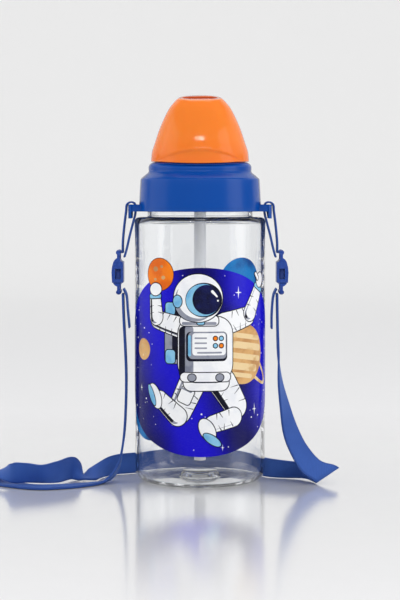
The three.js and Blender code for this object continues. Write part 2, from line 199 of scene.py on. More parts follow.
deselect()
bpy.ops.mesh.primitive_plane_add(size=1, location=(0, (FLOOR_FRONT + FLOOR_BACK) / 2, 0))
floor = start_piece("floor")
bpy.ops.transform.resize(value=(FLOOR_WIDTH, FLOOR_BACK - FLOOR_FRONT, 1))
bpy.ops.mesh.select_all(action="DESELECT")
bpy.ops.mesh.select_mode(type="EDGE")
bpy.ops.object.mode_set(mode="OBJECT")
for edge in floor.data.edges:
    edge.select = all(floor.data.vertices[v].co.y > 0 for v in edge.vertices)
bpy.ops.object.mode_set(mode="EDIT")
bpy.ops.mesh.extrude_edges_move(TRANSFORM_OT_translate={"value": (0, 0, SWEEP_HEIGHT)})
bpy.ops.mesh.select_mode(type="VERT")
bpy.ops.object.mode_set(mode="OBJECT")
round_edges(floor, "sweep", SWEEP_RADIUS, 24)
settle(floor, 60)

POLISH_FADES = (0.09, 0.36)  # distances from the bottle between which the board's polish fades out
TONE_FADES = (0.5, 2.4)  # and those between which it turns nearly white
RIPPLES = (3, 1400)  # the combed ripples per metre, across and in depth
RIPPLE_HEIGHT = 0.028 * MM

board = Finish("pale_board")
grain = board.noise(60, 2)
across, depth, _ = board.place()
away = (across * across + depth * depth).root()
polish = 1 - away.step(*POLISH_FADES)
near_tone = board.mix(grain, paint(229, 229, 230), paint(231, 231, 232))
combed = board.add("CombineXYZ", {"X": across * RIPPLES[0], "Y": depth * RIPPLES[1]})
ripples = board.add("TexNoise", {"Vector": combed, "Scale": 1.0, "Detail": 1.0})
rippled = board.bump(ripples, RIPPLE_HEIGHT)
board.surface(
    Base_Color=board.mix(away.step(*TONE_FADES), near_tone, paint(253, 253, 253)),
    Roughness=0.14 + grain * 0.01,
    Normal=rippled,
    Metallic=polish * 0.35,
    Specular_IOR_Level=0.0,
    Coat_Weight=polish,
    Coat_IOR=2.2,
    Coat_Roughness=0.1,
    Coat_Normal=rippled,
)
board.on(floor)

world = bpy.data.worlds.new("studio")
bpy.context.scene.world = world
world.use_nodes = True
ROOM_LIGHT = 0.78  # the room seen directly, through clear parts and by matt surfaces
ROOM_IN_GLOSS = 0.05  # the room as a shiny surface mirrors it
BAND_BEGINS = (0.1, 0.17)  # the rises, from 0 level to 1 overhead, between which the pale band comes in
BAND_ENDS = (0.4, 0.62)  # and those between which it goes out


class Room(Finish):
    """The world's shader, built up in the same way."""

    def __init__(self, place):
        self.tree = place.node_tree
        self.tree.nodes.clear()


# A shiny surface mirrors a dark room, apart from a pale band low down, which keeps the board pale
# when it is looked at from the side.
room = Room(world)
glossy, let_through = (
    room.add("LightPath", outlet=f"Is {kind} Ray") for kind in ("Glossy", "Transmission")
)
mirrored = glossy - let_through
_, _, rise = room.split(room.add("TexCoord", outlet="Generated"))
low_down = rise.step(*BAND_BEGINS) * (1 - rise.step(*BAND_ENDS))
level = mirrored.step(0, 1) * (1 - low_down) * (ROOM_IN_GLOSS - ROOM_LIGHT) + ROOM_LIGHT
background = room.add("Background", {"Color": (1, 1, 1, 1), "Strength": level})
room.add("OutputWorld", {"Surface": background})


LIGHTS_AIM = 0.12  # the height that every light faces
STRIP_HEIGHT = 0.1  # a light lower than this is drawn out to a point at both ends


def softbox(name, azimuth, elevation, distance, width, height, power):
    """A soft light that faces the bottle. Azimuth 0 is in front and 90 on the right."""
    turn, lift = math.radians(azimuth), math.radians(elevation)
    towards = Vector(
        (math.sin(turn) * math.cos(lift), -math.cos(turn) * math.cos(lift), math.sin(lift))
    )
    lamp = bpy.data.lights.new(name, "AREA")
    lamp.shape = "ELLIPSE" if height < STRIP_HEIGHT else "RECTANGLE"
    lamp.size, lamp.size_y = width, height
    lamp.energy = power
    holder = bpy.data.objects.new(name, lamp)
    bpy.context.collection.objects.link(holder)
    holder.location = Vector((0, 0, LIGHTS_AIM)) + towards * distance
    holder.rotation_euler = towards.to_track_quat("Z", "Y").to_euler()
    holder.visible_camera = False


# Each light's azimuth and elevation in degrees, distance, width and height in metres, and watts.
softbox("left_box", -88, 6, 1.3, 1.1, 1.6, 4.2)
softbox("right_box", 70, 6, 1.3, 0.75, 1.6, 6)
softbox("top_box", 165, 66, 1.4, 1.0, 0.9, 3)
softbox("front_strip", 0, 38.6, 1.2, 1.1, 0.025, 2.2)

EYE_DISTANCE = 1.003
EYE_HEIGHT = 0.1525
LOOK_DOWN = 3.15
LENS = 112.3

lens = bpy.data.cameras.new("camera")
lens.lens = LENS
eye = bpy.data.objects.new("camera", lens)
bpy.context.collection.objects.link(eye)
eye.location = (0, -EYE_DISTANCE, EYE_HEIGHT)
eye.rotation_euler = (math.radians(90 - LOOK_DOWN), 0, 0)
bpy.context.scene.camera = eye
bpy.context.scene.view_settings.view_transform = "Standard"

# ---- The carrying strap -------------------------------------------------------------------------
# Flat woven polyester webbing, 12 mm wide, dyed royal blue. Each end of the long strap goes round the
# end bar of a buckle plug and hangs behind itself as a short tail. The rest lies on the floor.
WEB_THICK = 1.1
WEB_END_THICK = 0.95  # of the tails and the lug loops, which are pressed flatter
WEB_STEP = 0.8  # distance between rows of the ribbon's mesh

# The middle of the webbing, and the half-width vector to its far or upper edge, in millimetres.
ROUTE = [
    (-41.3, 0, 100.9, 0, 6, 0),  # out of the left plug
    (-40.9, 0, 88, 0, 6, 0),
    (-40.1, 0, 72, 0, 6, 0),
    (-39.6, 0, 56, 0, 6, 0),
    (-39.9, 0, 40, 0, 6, 0),
    (-40.7, -0.3, 26, 0, 6, 0),
    (-42.2, -1.5, 15.5, 0, 6, 0),
    (-44.2, -4.2, 7.6, 0.6, 5.9, -0.6),
    (-49.5, -11, 1.6, 1.6, 5.8, -0.3),  # flat on the floor
    (-60, -21.5, 0.9, 1.8, 5.7, 0),
    (-72, -27.8, 0.9, 1.2, 5.9, 0),
    (-85, -30, 0.9, 0.2, 6, 0),
    (-97, -23, 0.9, 2, 5.6, 0),
    (-107, -14, 1.2, 2.4, 5.4, 0),
    (-112, -11, 3.8, 2.4, 5.3, 0.4),  # turns back over itself
    (-106, -15, 6.2, 2.6, 3.2, 2.2),
    (-98.5, -25, 7.6, 0.3, -1.6, 5.4),
    (-91, -23.5, 7.4, 0, -1.8, 5.3),
    (-83.5, -24, 6.9, 0, -2.4, 5),
    (-75.9, -15, 6.6, 0, -0.8, 5.8),
    (-68.2, -1.2, 6.6, 0.5, 0.5, 6),  # folds down
    (-65.2, 0.2, 4.5, 0.3, 4.2, 4),
    (-62.5, -0.8, 1.9, -0.9, 5.9, 0.4),
    (-57.8, 0, 3.3, -1.8, 5, 2.3),  # turns up on its edge
    (-51.9, 11.6, 5.2, 0.6, 3.4, 4.8),
    (-46.4, 18.6, 5.8, 1, 0.4, 5.5),
    (-36, 25, 5.9, 0, 0.6, 5.6),
    (-19, 35.5, 6.2, 0, 0, 5.8),
    (0, 40, 6.3, 0, 0, 5.8),
    (18, 35, 6.1, 0, 0, 5.7),
    (29.5, 22.5, 5.9, 0, -0.6, 5.5),
    (36.2, 9.8, 5.6, 0, -1, 5.2),
    (44, 4.4, 5.4, 0, -2.4, 5),
    (55.4, -0.6, 5.3, 0.2, -3.4, 4.5),
    (63.2, -7, 5, 3.4, -0.4, 4.4),
    (67.8, -10.6, 4.4, 6.2, 4, 3.4),  # diagonal fold at the right
    (66, -13.2, 6, 6.2, 4.4, 3.2),
    (59.6, -11.6, 8.8, 5.2, 3.6, 2.4),
    (53.2, -8, 17, 4.3, 3.5, 1.9),
    (48.6, -3.6, 27, 3.7, 4.4, 1.6),
    (45.2, -1, 41.5, 2.2, 5.5, 0.9),
    (43, 0, 54, 1, 5.9, 0.3),
    (42.1, 0, 68, 0, 6, 0),
    (41.6, 0, 84, 0, 6, 0),
    (41.3, 0, 100.9, 0, 6, 0),  # into the right plug
]
LEFT_TAIL = [
    (-41, 0, 103.6, 0, 6, 0),
    (-39.5, 0, 100.4, 0, 6, 0),
    (-38.7, 0, 92, 0, 6, 0),
    (-37.8, 0, 82.5, 0, 6, 0),
]
RIGHT_TAIL = [
    (41, 0, 103.6, 0, 6, 0),
    (39.5, 0, 100.4, 0, 6, 0),
    (38.5, 0, 91, 0, 6, 0),
    (38.4, 0, 82, 0, 6, 0),
]


def along(points, place, centripetal):
    """A point of the smooth curve through the points, at a place counted in points."""
    last = len(points) - 1
    index = min(int(place), last - 1)
    share = place - index
    here, there = points[index], points[index + 1]
    before = points[index - 1] if index > 0 else 2 * here - there
    after = points[index + 2] if index + 2 <= last else 2 * there - here
    if centripetal:
        spans = ((before, here), (here, there), (there, after))
        first, middle, third = (max((b - a).length ** 0.5, 1e-6) for a, b in spans)
        leave = (here - before) / first - (there - before) / (first + middle) + (there - here) / middle
        arrive = (there - here) / middle - (after - here) / (middle + third) + (after - there) / third
        leave, arrive = leave * middle, arrive * middle
    else:
        leave, arrive = (there - before) / 2, (after - here) / 2
    square, cube = share**2, share**3
    return (
        here
        + leave * share
        + (3 * (there - here) - 2 * leave - arrive) * square
        + (2 * (here - there) + leave + arrive) * cube
    )


def stations(route, fine=24):
    """The route resampled at equal distances: centres and half-width vectors, in metres."""
    centres = [Vector(row[:3]) * MM for row in route]
    halves = [Vector(row[3:]) * MM for row in route]
    samples = []
    travelled = 0.0
    for index in range((len(route) - 1) * fine + 1):
        centre = along(centres, index / fine, True)
        if samples:
            travelled += (centre - samples[-1][1]).length
        samples.append((travelled, centre, along(halves, index / fine, False)))
    count = round(travelled / (WEB_STEP * MM))
    rows = []
    at = 0
    for index in range(count + 1):
        goal = travelled * index / count
        while at < len(samples) - 2 and samples[at + 1][0] < goal:
            at += 1
        (near, centre, half), (far, next_centre, next_half) = samples[at], samples[at + 1]
        share = min(1.0, max(0.0, (goal - near) / (far - near)))
        rows.append((centre.lerp(next_centre, share), half.lerp(next_half, share)))
    return rows, travelled


def ribbon(name, route, thick=WEB_THICK):
    """Webbing along a route: a grid laid along it, given its thickness and a rounded selvedge."""
    rows, length = stations(route)
    deselect()
    bpy.ops.mesh.primitive_grid_add(x_subdivisions=8, y_subdivisions=len(rows) - 1, size=1)
    piece = bpy.context.object
    piece.name = piece.data.name = name
    for vertex in piece.data.vertices:
        centre, half = rows[round((vertex.co.y + 0.5) * (len(rows) - 1))]
        vertex.co = centre + half * (2 * vertex.co.x)
    wall = piece.modifiers.new("thickness", "SOLIDIFY")
    wall.thickness = thick * MM
    wall.offset = 0
    round_edges(piece, "selvedge", 0.3 * thick * MM, 2, 60)
    settle(piece, 50)
    return piece, rows, length


RIBS = 13  # across the webbing's width
PICK = 0.9  # length of one pass of the weft
SELVEDGE = (0.4, 0.47)  # distances from the middle, as shares of the width, where the edge comes in


def webbing_finish(name, length):
    """Blue polyester webbing, woven in fine ribs along its length, with a firmer edge on each side."""
    finish = Finish(name)
    across, run, _ = finish.split(finish.add("TexCoord", outlet="UV"))
    ribs = (across * (2 * math.pi * RIBS)).sine()
    picks = (run * (2 * math.pi * length / (PICK * MM))).sine()
    weave = ribs * picks * 0.5 + 0.5
    selvedge = (across - 0.5).size().step(*SELVEDGE)
    patchy = finish.noise(45).step(0.3, 0.7)
    thread = finish.mix(weave, paint(32, 66, 140), paint(55, 97, 182))
    thread = finish.mix(patchy * 0.4, thread, paint(61, 104, 190))
    finish.surface(
        Base_Color=finish.mix(selvedge * 0.5, thread, paint(30, 62, 135)),
        Roughness=0.62 + weave * 0.14,
        Normal=finish.bump(weave * (1 - selvedge), 0.12 * MM, 0.7),
        Sheen_Weight=0.25,
        Sheen_Roughness=0.4,
        Sheen_Tint=paint(150, 180, 235),
        Specular_IOR_Level=0.3,
    )
    return finish


strap, strap_rows, strap_length = ribbon("carrying_strap", ROUTE)
left_tail, _, tail_length = ribbon("strap_tail_left_web", LEFT_TAIL, WEB_END_THICK)
right_tail, _, _ = ribbon("strap_tail_right_web", RIGHT_TAIL, WEB_END_THICK)
webbing_finish("strap_webbing", strap_length).on(strap)
tail_webbing = webbing_finish("tail_webbing", tail_length)
for tail in (left_tail, right_tail):
    tail_webbing.on(tail)
for web, nodes in (
    (strap, ("strap_left_drop", "strap_left_return", "strap_back", "strap_right_rise")),
    (left_tail, ("strap_tail_left",)),
    (right_tail, ("strap_tail_right",)),
):
    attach(web, "lid")
    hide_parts(*nodes)

# ---- The lug loops ------------------------------------------------------------------------------
# A short length of the same webbing on each side, threaded through the lid's lug and sewn into a loop
# round the end bar of the buckle socket.
LOOP = [
    (41.3, 0, 122.6, 0, 6, 0),  # outer strand, from the buckle up to the lug
    (41.3, 0, 128, 0, 6, 0),
    (40.4, 0, 138, 0, 6, 0),
    (39.5, 0, 145, 0, 6, 0),
    (39, 0, 148.6, 0, 6, 0),
    (37, 0, 149.8, 0, 6, 0),  # over the lug's bar
    (35, 0, 149.1, 0, 6, 0),
    (34.5, 0, 146.8, 0, 6, 0),
    (34.6, 0, 143.6, 0, 6, 0),
    (35.6, 0, 139.6, 0, 6, 0),
    (37.7, 0, 131.5, 0, 6, 0),
    (39.3, 0, 124.5, 0, 6, 0),
    (40.5, 0, 120.3, 0, 6, 0),  # inner strand, back to the buckle
]

loops = []
for side, word in ((-1, "left"), (1, "right")):
    one_side = [(side * row[0], *row[1:]) for row in LOOP]
    loop, _, loop_length = ribbon(f"lug_loop_{word}", one_side, WEB_END_THICK)
    loops.append(loop)
    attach(loop, "lid")
    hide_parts(f"strap_loop_{word}")
    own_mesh(loop)
loop_webbing = webbing_finish("loop_webbing", loop_length)
for loop in loops:
    loop_webbing.on(loop)

# ---- The buckles --------------------------------------------------------------------------------
# Side-release buckles moulded in blue acetal: a socket on the lug loop and a plug on the long strap,
# each with a round end bar for the webbing. The plug's prongs snap out through the socket's sides.


SEAM_ANGLE = 2  # degrees: flatter seams than this are taken out
MOULDED_ANGLE = 40  # and edges sharper than this are rounded


def softened(node, name, round_over):
    """A copy of a moulded frame piece, welded, cleaned of flat seams, with its edges rounded over."""
    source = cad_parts[node]
    piece = bpy.data.objects.new(name, source.data.copy())
    piece.data.name = name
    bpy.context.collection.objects.link(piece)
    choose(piece)
    bpy.ops.object.mode_set(mode="EDIT")
    bpy.ops.mesh.select_all(action="SELECT")
    bpy.ops.mesh.remove_doubles(threshold=0.01 * MM)
    bpy.ops.mesh.dissolve_limited(angle_limit=math.radians(SEAM_ANGLE))
    bpy.ops.object.mode_set(mode="OBJECT")
    round_edges(piece, "edges", round_over * MM, 3, MOULDED_ANGLE)
    return settle(piece, 45)


acetal = Finish("buckle_acetal")
marks = acetal.noise(900, 4).step(0.35, 0.75)
acetal.surface(
    Base_Color=acetal.mix(marks, paint(22, 62, 150), paint(30, 74, 165)),
    Roughness=0.32 + marks * 0.12,
    Normal=acetal.bump(marks, 0.02 * MM, 0.5),
    Specular_IOR_Level=0.4,
)
for word in ("left", "right"):
    socket = softened(f"buckle_socket_{word}", f"socket_{word}", 0.35)
    plug = softened(f"buckle_plug_{word}", f"plug_{word}", 0.25)
    for piece, body, node in (
        (socket, f"socket_{word}", f"buckle_socket_{word}"),
        (plug, "lid", f"buckle_plug_{word}"),
    ):
        acetal.on(piece)
        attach(piece, body)
        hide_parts(node)
[centre for centre, _ in strap_rows[::4]] + [strap_rows[-1][0]]

# ---- The bottle ---------------------------------------------------------------------------------
# Blow-moulded clear copolyester, 2 mm thick in the wall and heavier in the foot, with a kick-up in the
# middle of the base, a flat standing ring, and a two-start neck thread under the lid.
BODY_R = 35
WALL = 2
BASE_CORNER = 7
SHOULDER_Z = 142
SHOULDER_CORNER = 3
NECK_R = 28.2
NECK_BORE_R = 26.3
NECK_TOP = 158


def arc(radius, height, corner, start, stop, steps=8):
    """Points of an arc in a profile, from one angle to another in degrees."""
    turns = [math.radians(start + (stop - start) * i / steps) for i in range(steps + 1)]
    return [(radius + corner * math.cos(a), height + corner * math.sin(a)) for a in turns]


def turned(name, profile, sides=128, crease=35):
    """A profile of (radius, height) points drawn by extruding one point, then spun round the axis."""
    deselect()
    radius, height = profile[0]
    bpy.ops.mesh.primitive_plane_add(size=MM, location=(radius * MM, 0, height * MM))
    piece = start_piece(name)
    bpy.ops.mesh.select_mode(type="VERT")
    bpy.ops.mesh.merge(type="CENTER")
    for (r0, z0), (r1, z1) in zip(profile, profile[1:]):
        move = {"value": ((r1 - r0) * MM, 0, (z1 - z0) * MM)}
        bpy.ops.mesh.extrude_region_move(TRANSFORM_OT_translate=move)
    bpy.ops.mesh.select_all(action="SELECT")
    bpy.ops.mesh.spin(steps=sides, angle=2 * math.pi, center=(0, 0, 0), axis=(0, 0, 1))
    bpy.ops.mesh.select_all(action="SELECT")
    bpy.ops.mesh.remove_doubles(threshold=0.003 * MM)
    bpy.ops.mesh.normals_make_consistent(inside=False)
    bpy.ops.object.mode_set(mode="OBJECT")
    return settle(piece, crease)


inner = BODY_R - WALL
bottle = turned(
    "bottle",
    [
        (0, 4.0),
        (5.9, 4.0),
        *arc(6.4, 3.0, 1.0, 90, 10, 4),
        (8.4, 2.0),
        *arc(10.2, 1.8, 1.0, 200, 270, 4),
        (15, 0.9),
        (15.8, 1.1),
        (17, 1.1),
        (17.8, 0.8),
        (23.4, 0.7),
        (24.4, 0.5),
        (25.4, 0.1),
        (26, 0),
        *arc(BODY_R - BASE_CORNER, BASE_CORNER, BASE_CORNER, -90, 0, 14),
        (BODY_R, 40),
        (BODY_R, 100),
        *arc(BODY_R - SHOULDER_CORNER, SHOULDER_Z - SHOULDER_CORNER, SHOULDER_CORNER, 0, 90, 10),
        *arc(NECK_R + 0.8, SHOULDER_Z + 0.8, 0.8, 270, 180, 4),
        (NECK_R, NECK_TOP - 0.6),
        *arc(NECK_R - 0.6, NECK_TOP - 0.6, 0.6, 0, 90, 4),
        *arc(NECK_BORE_R + 0.5, NECK_TOP - 0.5, 0.5, 90, 180, 4),
        (NECK_BORE_R, SHOULDER_Z - 0.6),
        *arc(NECK_BORE_R + 1.2, SHOULDER_Z - 0.6, 1.2, 180, 270, 4),
        *arc(inner - 2.4, SHOULDER_Z - WALL - 2.2, 2.4, 90, 0, 8),
        (inner, 100),
        (inner, 40),
        *arc(inner - 5.4, BASE_CORNER + 0.2, 5.4, 0, -90, 12),
        (20, 2.2),
        (13, 2.3),
        *arc(12, 3.3, 1, 270, 200, 3),
        (10.2, 4.8),
        *arc(8.6, 5.2, 1, 0, 90, 4),
        (4, 6.3),
        (0, 6.2),
    ],
    sides=160,
)
# Painted shade: the wall's colour darkens where it is seen edge on, in place of the dark reflection
# there, and the foot is painted a little darker close to the floor.
EDGE_SHADE_FADES = (0.76, 0.98)  # share of turning away between which the painted edge shade comes in
FOOT_SHADE_HEIGHTS = (0.4 * MM, 2.2 * MM)  # heights between which the foot's painted shade fades out
CLEAR_IOR = 1.17  # lower than the real resin's, so that what is behind the wall stays clear to see

clear = Finish("clear_copolyester")
facing = clear.add("LayerWeight", {"Blend": 0.5}, outlet="Facing")
_, _, height = clear.place()
# Painted shade where the wall is seen edge on.
sides = clear.mix(facing.step(*EDGE_SHADE_FADES), paint(253, 254, 255), paint(96, 106, 138))
painted_foot_shade = 1 - height.step(*FOOT_SHADE_HEIGHTS)
haze = clear.noise(300, 4).step(0.5, 0.8)
clear.surface(
    Base_Color=clear.mix(painted_foot_shade * facing.step(0.3, 0.7), sides, paint(120, 124, 132)),
    Roughness=haze * 0.03,
    IOR=CLEAR_IOR,
    Transmission_Weight=0.995,
    Coat_Weight=1.0,
    Coat_IOR=1.38,
    Coat_Roughness=0.01,
    Normal=clear.bump(clear.noise(35, 1), 0.05 * MM, 0.25),
)
clear.on(bottle)
bottle.visible_shadow = False
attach(bottle, "bottle")
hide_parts("bottle_body")

# The neck's thread: a rounded ridge wound one and a half turns round the neck, thinning at its ends.
THREAD_PITCH = 4
THREAD_HEIGHT = 2.2
THREAD_TAPER = 0.08  # share of its length over which each end sinks into the wall
THREAD_SIDES = 96  # steps in a full turn


def thread(name, root, crest, start, turns, body, finish):
    """A ring of a few corners carried up a helix. Its crest sinks into the wall at both ends."""
    deselect()
    around = round(turns * THREAD_SIDES)
    bpy.ops.mesh.primitive_grid_add(x_subdivisions=6, y_subdivisions=around, size=1)
    piece = bpy.context.object
    piece.name = piece.data.name = name
    for vertex in piece.data.vertices:
        share = vertex.co.y + 0.5
        angle = share * turns * 2 * math.pi
        rise = min(1, share / THREAD_TAPER, (1 - share) / THREAD_TAPER)
        swell = max(0.0, math.cos(vertex.co.x * math.pi)) ** 0.7 * rise
        radius = (root + (crest - root) * swell) * MM
        height = (start + THREAD_PITCH * turns * share + THREAD_HEIGHT * vertex.co.x) * MM
        vertex.co = (radius * math.cos(angle), radius * math.sin(angle), height)
    settle(piece, 60)
    finish.on(piece)
    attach(piece, body)
    return piece


neck_thread = thread("neck_thread", NECK_R + 0.02, NECK_R + 1.3, 149.5, 1.5, "bottle", clear)

# ---- The lid's seal -----------------------------------------------------------------------------
# A flat ring of white silicone that lies on the bottle's rim and is pressed by the lid's seat, with a
# shallow bead moulded round each face.
seal_low, seal_high = (corner.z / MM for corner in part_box("lid_gasket"))
SEAL_R = (26, 29.9)
seal_middle = (SEAL_R[0] + SEAL_R[1]) / 2
seal = turned(
    "silicone_seal",
    [
        (SEAL_R[0], seal_low + 0.4),
        *arc(SEAL_R[0] + 0.4, seal_low + 0.4, 0.3, 200, 260, 3),
        (seal_middle - 0.8, seal_low + 0.1),
        (seal_middle, seal_low),
        (seal_middle + 0.8, seal_low + 0.1),
        *arc(SEAL_R[1] - 0.4, seal_low + 0.4, 0.3, 280, 350, 3),
        *arc(SEAL_R[1] - 0.4, seal_high - 0.4, 0.3, 10, 80, 3),
        (seal_middle + 0.8, seal_high - 0.1),
        (seal_middle, seal_high),
        (seal_middle - 0.8, seal_high - 0.1),
        *arc(SEAL_R[0] + 0.4, seal_high - 0.4, 0.3, 100, 160, 3),
        (SEAL_R[0], seal_low + 0.4),
    ],
    sides=96,
)
silicone = Finish("white_silicone")
dust = silicone.noise(700, 3)
silicone.surface(
    Base_Color=silicone.mix(dust, paint(232, 232, 228), paint(243, 243, 240)),
    Roughness=0.45 + dust * 0.2,
    Normal=silicone.bump(dust, 0.02 * MM, 0.4),
    Subsurface_Weight=0.25,
    Subsurface_Radius=(0.004, 0.004, 0.004),
    Subsurface_Scale=0.5,
)
silicone.on(seal)
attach(seal, "lid_seal")
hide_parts("lid_gasket")

# ---- The lid ------------------------------------------------------------------------------------
# Injection-moulded polypropylene in deep blue: a smooth skirt, a shoulder, a rounded bead with a
# shallow thumb scoop in front, the boss that the dome snaps over, and a deck with the spout's hub.
SKIRT_Z = 144.8
SKIRT_R = 32.7
LID_BORE_R = 30.4
LID_SEAT_Z = 160.6
LID_SHOULDER_Z = 161.6
BEAD_R = 27.5
BEAD_TOP = 170.9
BOSS_R = 24
BOSS_TOP = 176
DECK_Z = 168.4
DECK_THICK = 2.5
HUB_R = 10.8
HUB_TOP = 173
HUB_BORE_R = 8
DIP = 1.1
DIP_HALF_ANGLE = math.radians(78)


def front_dip(point, half_angle=DIP_HALF_ANGLE):
    """1 at the front of the bottle, falling smoothly to 0 at an angle to either side."""
    angle = abs(math.atan2(point.x, -point.y))
    return 0.5 + 0.5 * math.cos(math.pi * angle / half_angle) if angle < half_angle else 0.0


def draw_in(vertex, reach, depth):
    """Moves a point of a mesh by a depth towards the axis, which is at a reach from it."""
    shrink = (reach - depth) / reach
    vertex.co.x *= shrink
    vertex.co.y *= shrink


def cut_out(piece, name, cutter):
    """Cuts the cutter's shape out of a piece, and removes the cutter."""
    cut = piece.modifiers.new(name, "BOOLEAN")
    cut.operation = "DIFFERENCE"
    cut.object = cutter
    choose(piece)
    bpy.ops.object.modifier_apply(modifier=cut.name)
    bpy.data.objects.remove(cutter)


lid = turned(
    "lid",
    [
        (LID_BORE_R, SKIRT_Z),
        (SKIRT_R - 0.45, SKIRT_Z),
        *arc(SKIRT_R - 0.45, SKIRT_Z + 0.45, 0.45, -80, 0, 5),
        (SKIRT_R - 0.2, 149),
        (SKIRT_R - 0.45, 154),
        (SKIRT_R - 0.75, 159),
        *arc(SKIRT_R - 2.3, LID_SHOULDER_Z - 0.2, 1.4, 5, 55, 8),
        (BEAD_R + 2.1, 164.0),
        (BEAD_R + 0.7, 165.0),
        (BEAD_R + 0.1, 165.7),
        (BEAD_R - 0.1, 166.4),
        (BEAD_R, 167.2),
        *arc(BEAD_R - 2.9, BEAD_TOP - 2.9, 2.9, 8, 82, 12),
        (BOSS_R + 0.4, BEAD_TOP),
        (BOSS_R, BEAD_TOP),
        (BOSS_R, BOSS_TOP - 1.9),
        (BOSS_R + 0.22, BOSS_TOP - 1.5),
        (BOSS_R + 0.22, BOSS_TOP - 1.2),
        (BOSS_R, BOSS_TOP - 0.8),
        *arc(BOSS_R - 0.6, BOSS_TOP - 0.6, 0.6, 10, 90, 4),
        *arc(BOSS_R - 1.5, BOSS_TOP - 0.5, 0.5, 90, 180, 4),
        (BOSS_R - 2, DECK_Z + 0.8),
        *arc(BOSS_R - 2.8, DECK_Z + 0.8, 0.8, 0, -90, 5),
        *arc(HUB_R + 0.8, DECK_Z + 0.8, 0.8, 270, 180, 4),
        (HUB_R, HUB_TOP - 0.3),
        *arc(HUB_R - 0.3, HUB_TOP - 0.3, 0.3, 10, 90, 3),
        (HUB_BORE_R, HUB_TOP),
        (HUB_BORE_R, 160),
        (HUB_BORE_R + 2, 160),
        (HUB_BORE_R + 2, DECK_Z - DECK_THICK),
        (BOSS_R + 0.1, DECK_Z - DECK_THICK),
        (BOSS_R + 0.7, LID_SEAT_Z),
        (LID_BORE_R, LID_SEAT_Z),
        (LID_BORE_R, SKIRT_Z),
    ],
    sides=192,
    crease=40,
)
# The bead's top dips in front, and the thumb scoop goes in from the shoulder up.
DIP_HEIGHTS = (BEAD_TOP - 3.05, BEAD_TOP + 0.6)
DIP_LOW = 167
DIP_BLEND = 3
SCOOP_LOW = 163.0
SCOOP_DEPTH = 1.2
SCOOP_BLEND = 1.6
for vertex in lid.data.vertices:
    at = vertex.co / MM
    reach = math.hypot(at.x, at.y)
    if DIP_HEIGHTS[0] < at.z < DIP_HEIGHTS[1] and BOSS_R - 1 < reach < BOSS_R + 6:
        vertex.co.z -= DIP * front_dip(at) * min(1, max(0, at.z - DIP_LOW) / DIP_BLEND) * MM
    if reach > BEAD_R - 1 and at.z > SCOOP_LOW:
        blend = min(1, (at.z - SCOOP_LOW) / SCOOP_BLEND)
        draw_in(vertex, reach, SCOOP_DEPTH * blend * front_dip(at) ** 0.6)

# The vent in the deck behind the spout: a hole for the valve's stem and a small one on each side.
VALVE_Y = 16.8
DRILL_DEPTH = 10
for x, radius in ((0, 1.6), (-2.9, 0.6), (2.9, 0.6)):
    deselect()
    place = (x * MM, VALVE_Y * MM, DECK_Z * MM)
    bpy.ops.mesh.primitive_cylinder_add(
        vertices=24, radius=radius * MM, depth=DRILL_DEPTH * MM, location=place
    )
    cut_out(lid, "vent", bpy.context.object)
settle(lid, 40)

polypropylene = Finish("lid_polypropylene")
flow = polypropylene.noise(26, 2)
fine_grain = polypropylene.noise(1600, 3)
# Painted shade: the colour darkens where the lid is seen edge on.
painted_edge_shade = polypropylene.add("LayerWeight", {"Blend": 0.5}, outlet="Facing").step(0.7, 1.0)
moulded = polypropylene.mix(flow, paint(0, 69, 158), paint(0, 76, 166))
polypropylene.surface(
    Base_Color=polypropylene.mix(painted_edge_shade, moulded, paint(0, 26, 84)),
    Roughness=0.2 + fine_grain * 0.08,
    Normal=polypropylene.bump(fine_grain, 0.012 * MM, 0.4),
    Specular_IOR_Level=0.26,
)
polypropylene.on(lid)
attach(lid, "lid")
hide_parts("lid_shell")
lid_thread = thread(
    "lid_thread", LID_BORE_R + 0.05, LID_BORE_R - 1.3, 148.5, 1.25, "lid", polypropylene
)

# ---- The lid's lugs -----------------------------------------------------------------------------
# A flat ear moulded on each side of the skirt, with rounded corners and a slot for the webbing. Its
# outer bar is rounded so that the loop doesn't chafe.
LUG_REACH = 38.2
LUG_WIDTH = 18
LUG_THICK = 3.7
LUG_SLOT = (33.2, 35.8)
LUG_SLOT_WIDTH = 13
LUG_CORNER = 2.4
LUG_ROUNDING = 0.55
LUG_ROOT = LID_BORE_R + 0.6

for side, word in ((-1, "left"), (1, "right")):
    deselect()
    middle = side * (LUG_ROOT + LUG_REACH) / 2
    bpy.ops.mesh.primitive_plane_add(size=1, location=(middle * MM, 0, SKIRT_Z * MM))
    lug = start_piece(f"lid_lug_{word}")
    bpy.ops.transform.resize(value=((LUG_REACH - LUG_ROOT) * MM, LUG_WIDTH * MM, 1))
    bpy.ops.mesh.inset(thickness=1.2 * MM, depth=0)
    # The face left selected is the slot's: it is set to the slot's place and size, then removed.
    bpy.ops.object.mode_set(mode="OBJECT")
    hole = next(face for face in lug.data.polygons if face.select)
    for index in hole.vertices:
        corner = lug.data.vertices[index].co
        near, far = (side * reach * MM - middle * MM for reach in LUG_SLOT)
        corner.x = far if corner.x * side > 0 else near
        corner.y = math.copysign(LUG_SLOT_WIDTH / 2 * MM, corner.y)
    bpy.ops.object.mode_set(mode="EDIT")
    bpy.ops.mesh.delete(type="FACE")
    bpy.ops.mesh.select_mode(type="VERT")
    bpy.ops.object.mode_set(mode="OBJECT")
    for vertex in lug.data.vertices:
        outer = abs(vertex.co.y) > LUG_WIDTH / 2 * MM * 0.99
        vertex.select = outer and vertex.co.x * side > 0
    bpy.ops.object.mode_set(mode="EDIT")
    bpy.ops.mesh.bevel(affect="VERTICES", offset=LUG_CORNER * MM, segments=6)
    bpy.ops.object.mode_set(mode="OBJECT")
    plate = lug.modifiers.new("plate", "SOLIDIFY")
    plate.thickness = LUG_THICK * MM
    plate.offset = 1
    round_edges(lug, "rounded", LUG_ROUNDING * MM, 4, 50)
    settle(lug, 50)
    polypropylene.on(lug)
    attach(lug, "lid")

